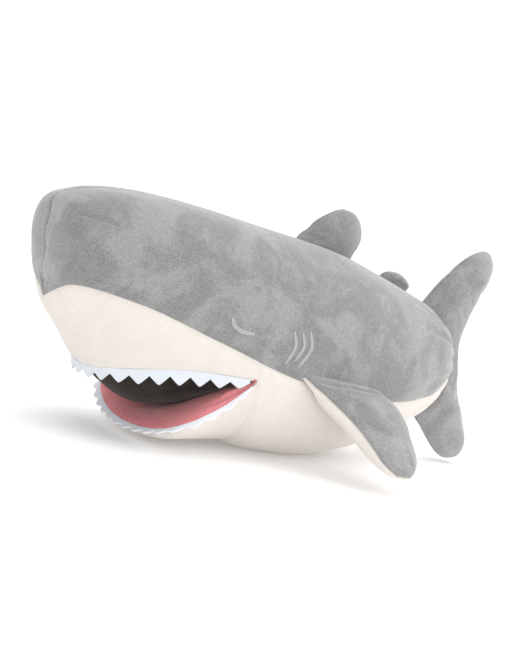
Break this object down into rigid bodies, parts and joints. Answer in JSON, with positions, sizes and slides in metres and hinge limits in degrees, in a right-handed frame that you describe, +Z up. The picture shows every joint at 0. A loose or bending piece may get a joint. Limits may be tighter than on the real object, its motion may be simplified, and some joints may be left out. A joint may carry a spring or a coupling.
{
  "type": "plush shark",
  "caption": "Stuffed toy shark with a blunt snout, an open felt-toothed mouth, a soft lower jaw, flapping side fins, upright back fins and a swaying tail fin.",
  "frame": {"origin": "on the resting surface, below the middle of the bounding box", "axes": "+Y from nose to tail, +Z up, +X to the shark's left"},
  "size_m": [0.331, 0.4999, 0.2345],
  "materials": {
    "grey_pile": "short soft pile with a pale sheen",
    "cream_pile": "short soft pile",
    "black_lining": "smooth knitted lining",
    "pink_lining": "short soft pile",
    "white_felt": "matte pressed felt",
    "silver_thread": "satin stitched thread",
    "fibre_fill": "loose polyester fibre"
  },
  "bodies": {
    "body": {"back_panel_left": "grey_pile", "back_panel_right": "grey_pile", "snout_panel": "cream_pile", "belly_panel": "cream_pile", "body_stuffing": "fibre_fill", "palate_lining": "black_lining", "upper_teeth": "white_felt", "eye_left": "silver_thread", "eye_right": "silver_thread", "gills_left": "silver_thread", "gills_right": "silver_thread"},
    "jaw": {"jaw_panel": "cream_pile", "mouth_floor": "pink_lining", "lower_teeth": "white_felt", "jaw_stuffing": "fibre_fill"},
    "side_fin_left": {"side_fin_left_top": "grey_pile", "side_fin_left_under": "cream_pile", "side_fin_left_stuffing": "fibre_fill"},
    "side_fin_right": {"side_fin_right_top": "grey_pile", "side_fin_right_under": "cream_pile", "side_fin_right_stuffing": "fibre_fill"},
    "back_fin": {"back_fin_panel_left": "grey_pile", "back_fin_panel_right": "grey_pile", "back_fin_stuffing": "fibre_fill"},
    "rear_fin": {"rear_fin_panel_left": "grey_pile", "rear_fin_panel_right": "grey_pile", "rear_fin_stuffing": "fibre_fill"},
    "tail_fin": {"tail_fin_panel_left": "grey_pile", "tail_fin_panel_right": "grey_pile", "tail_fin_stuffing": "fibre_fill"}
  },
  "joints": [
    {"name": "jaw_fold", "type": "hinge", "parent": "body", "child": "jaw", "pos_m": [0, -0.078, 0.076], "axis": [1, 0, 0], "range_deg": [-8, 6], "stiffness_Nm_per_rad": 0.8},
    {"name": "side_fin_left_flap", "type": "hinge", "parent": "body", "child": "side_fin_left", "pos_m": [0.10599, 0.02805, 0.06661], "axis": [0.16, -0.9859, 0.05], "range_deg": [-5, 50], "stiffness_Nm_per_rad": 0.4},
    {"name": "side_fin_right_flap", "type": "hinge", "parent": "body", "child": "side_fin_right", "pos_m": [-0.10599, 0.02805, 0.06661], "axis": [0.16, 0.9859, -0.05], "range_deg": [-5, 50], "stiffness_Nm_per_rad": 0.4},
    {"name": "back_fin_lean", "type": "hinge", "parent": "body", "child": "back_fin", "pos_m": [0, 0.03359, 0.20632], "axis": [0, 0.9851, -0.1719], "range_deg": [-14, 14], "stiffness_Nm_per_rad": 0.3},
    {"name": "rear_fin_lean", "type": "hinge", "parent": "body", "child": "rear_fin", "pos_m": [0, 0.11884, 0.18], "axis": [0, 0.9455, -0.3256], "range_deg": [-12, 12], "stiffness_Nm_per_rad": 0.2},
    {"name": "tail_sway", "type": "hinge", "parent": "body", "child": "tail_fin", "pos_m": [0, 0.198, 0.1], "axis": [0, 0, 1], "range_deg": [-15, 15], "stiffness_Nm_per_rad": 0.5}
  ]
}
